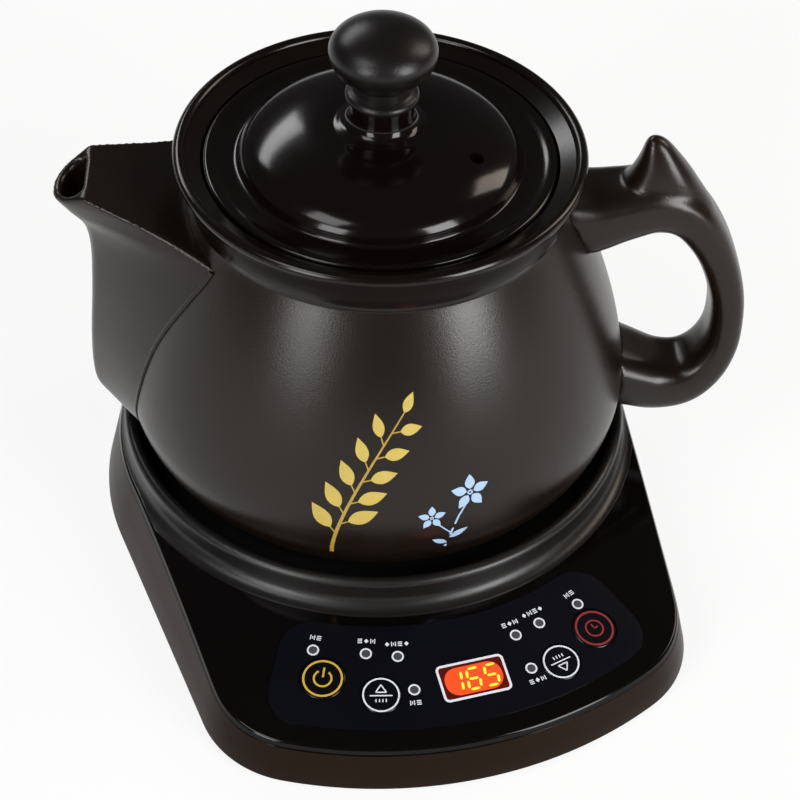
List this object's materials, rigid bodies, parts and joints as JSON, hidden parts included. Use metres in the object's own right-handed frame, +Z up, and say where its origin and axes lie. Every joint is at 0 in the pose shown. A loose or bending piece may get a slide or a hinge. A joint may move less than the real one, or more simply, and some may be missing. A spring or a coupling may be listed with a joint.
{
  "type": "electric herbal medicine pot",
  "caption": "Round black ceramic decoction pot with a flat-topped spout, an ear handle with thumb rest and a lift-off domed lid, on a heating base with a sloping key panel.",
  "frame": {"origin": "on the table under the middle of the whole object, lid and pot in place", "axes": "+Z up, -Y towards the control panel and the user, -X towards the spout and +X towards the handle"},
  "size_m": [0.2479, 0.2634, 0.2121],
  "materials": {
    "pot_glaze": "satin black glaze",
    "lid_glaze": "gloss black glaze",
    "knob_plastic": "matte black",
    "skirt_plastic": "satin dark brown",
    "cover_plastic": "gloss black",
    "ring_plastic": "satin black",
    "under_plastic": "matte black",
    "foot_rubber": "matte",
    "screw_steel": "bare",
    "film": "printed film, satin",
    "key_gold": "printed gold ring",
    "key_red": "printed red ring",
    "key_white": "printed white ring",
    "part_plastic": "moulded",
    "window": "smoked red",
    "lamp": "clear",
    "board": "green solder mask",
    "plate_metal": "cast, dark coated",
    "tube_steel": "bare",
    "shield_metal": "mill finish",
    "sensor_metal": "satin",
    "brass": "bare",
    "silicone": "matte",
    "fuse_ceramic": "matte",
    "relay_plastic": "moulded",
    "cap_yellow": "moulded"
  },
  "bodies": {
    "base": {"housing_skirt": "skirt_plastic", "top_cover": "cover_plastic", "bottom_cover": "under_plastic", "case_screws": "screw_steel", "rubber_feet": "foot_rubber", "guard_ring": "ring_plastic", "panel_film": "film", "tact_switches": "part_plastic", "control_board": "board", "board_screws": "screw_steel", "display_module": "part_plastic", "display_window": "window", "indicator_lamps": "lamp", "heating_plate": "plate_metal", "heating_tube": "tube_steel", "tube_terminals": "brass", "plate_seal": "silicone", "heat_shield": "shield_metal", "plate_screws": "screw_steel", "sensor_bracket": "shield_metal", "bracket_screws": "screw_steel", "sensor_spring": "screw_steel", "thermal_fuse": "fuse_ceramic", "power_board": "board", "power_relay": "relay_plastic", "filter_capacitor": "cap_yellow", "supply_capacitor": "part_plastic", "power_inlet": "part_plastic", "inlet_pins": "brass"},
    "sensor": {"sensor_cap": "sensor_metal"},
    "power_button": {"key_power": "key_gold"},
    "timer_button": {"key_timer": "key_red"},
    "up_button": {"key_up": "key_white"},
    "down_button": {"key_down": "key_white"},
    "pot": {"pot_body": "pot_glaze", "pot_spout": "pot_glaze", "pot_handle": "pot_glaze"},
    "lid": {"lid_dome": "lid_glaze", "lid_knob": "knob_plastic", "knob_washer": "silicone", "knob_screw": "screw_steel"}
  },
  "joints": [
    {"name": "pot_lift", "type": "slide", "parent": "base", "child": "pot", "axis": [0, 0, 1], "range_m": [0, 0.12]},
    {"name": "lid_lift", "type": "slide", "parent": "pot", "child": "lid", "axis": [0, 0, 1], "range_m": [0, 0.1]},
    {"name": "sensor_press", "type": "slide", "parent": "base", "child": "sensor", "axis": [0, 0, -1], "range_m": [0, 0.003], "stiffness_N_per_m": 300, "springref_m": -0.004, "deforming": ["sensor_spring"]},
    {"name": "power_press", "type": "slide", "parent": "base", "child": "power_button", "axis": [0.0691, 0.1668, -0.9836], "range_m": [0, 0.0005], "stiffness_N_per_m": 1500, "springref_m": -0.0005},
    {"name": "timer_press", "type": "slide", "parent": "base", "child": "timer_button", "axis": [-0.072, 0.1655, -0.9836], "range_m": [0, 0.0005], "stiffness_N_per_m": 1500, "springref_m": -0.0005},
    {"name": "up_press", "type": "slide", "parent": "base", "child": "up_button", "axis": [0.0415, 0.1757, -0.9836], "range_m": [0, 0.0005], "stiffness_N_per_m": 1500, "springref_m": -0.0005},
    {"name": "down_press", "type": "slide", "parent": "base", "child": "down_button", "axis": [-0.0476, 0.1741, -0.9836], "range_m": [0, 0.0005], "stiffness_N_per_m": 1500, "springref_m": -0.0005}
  ]
}
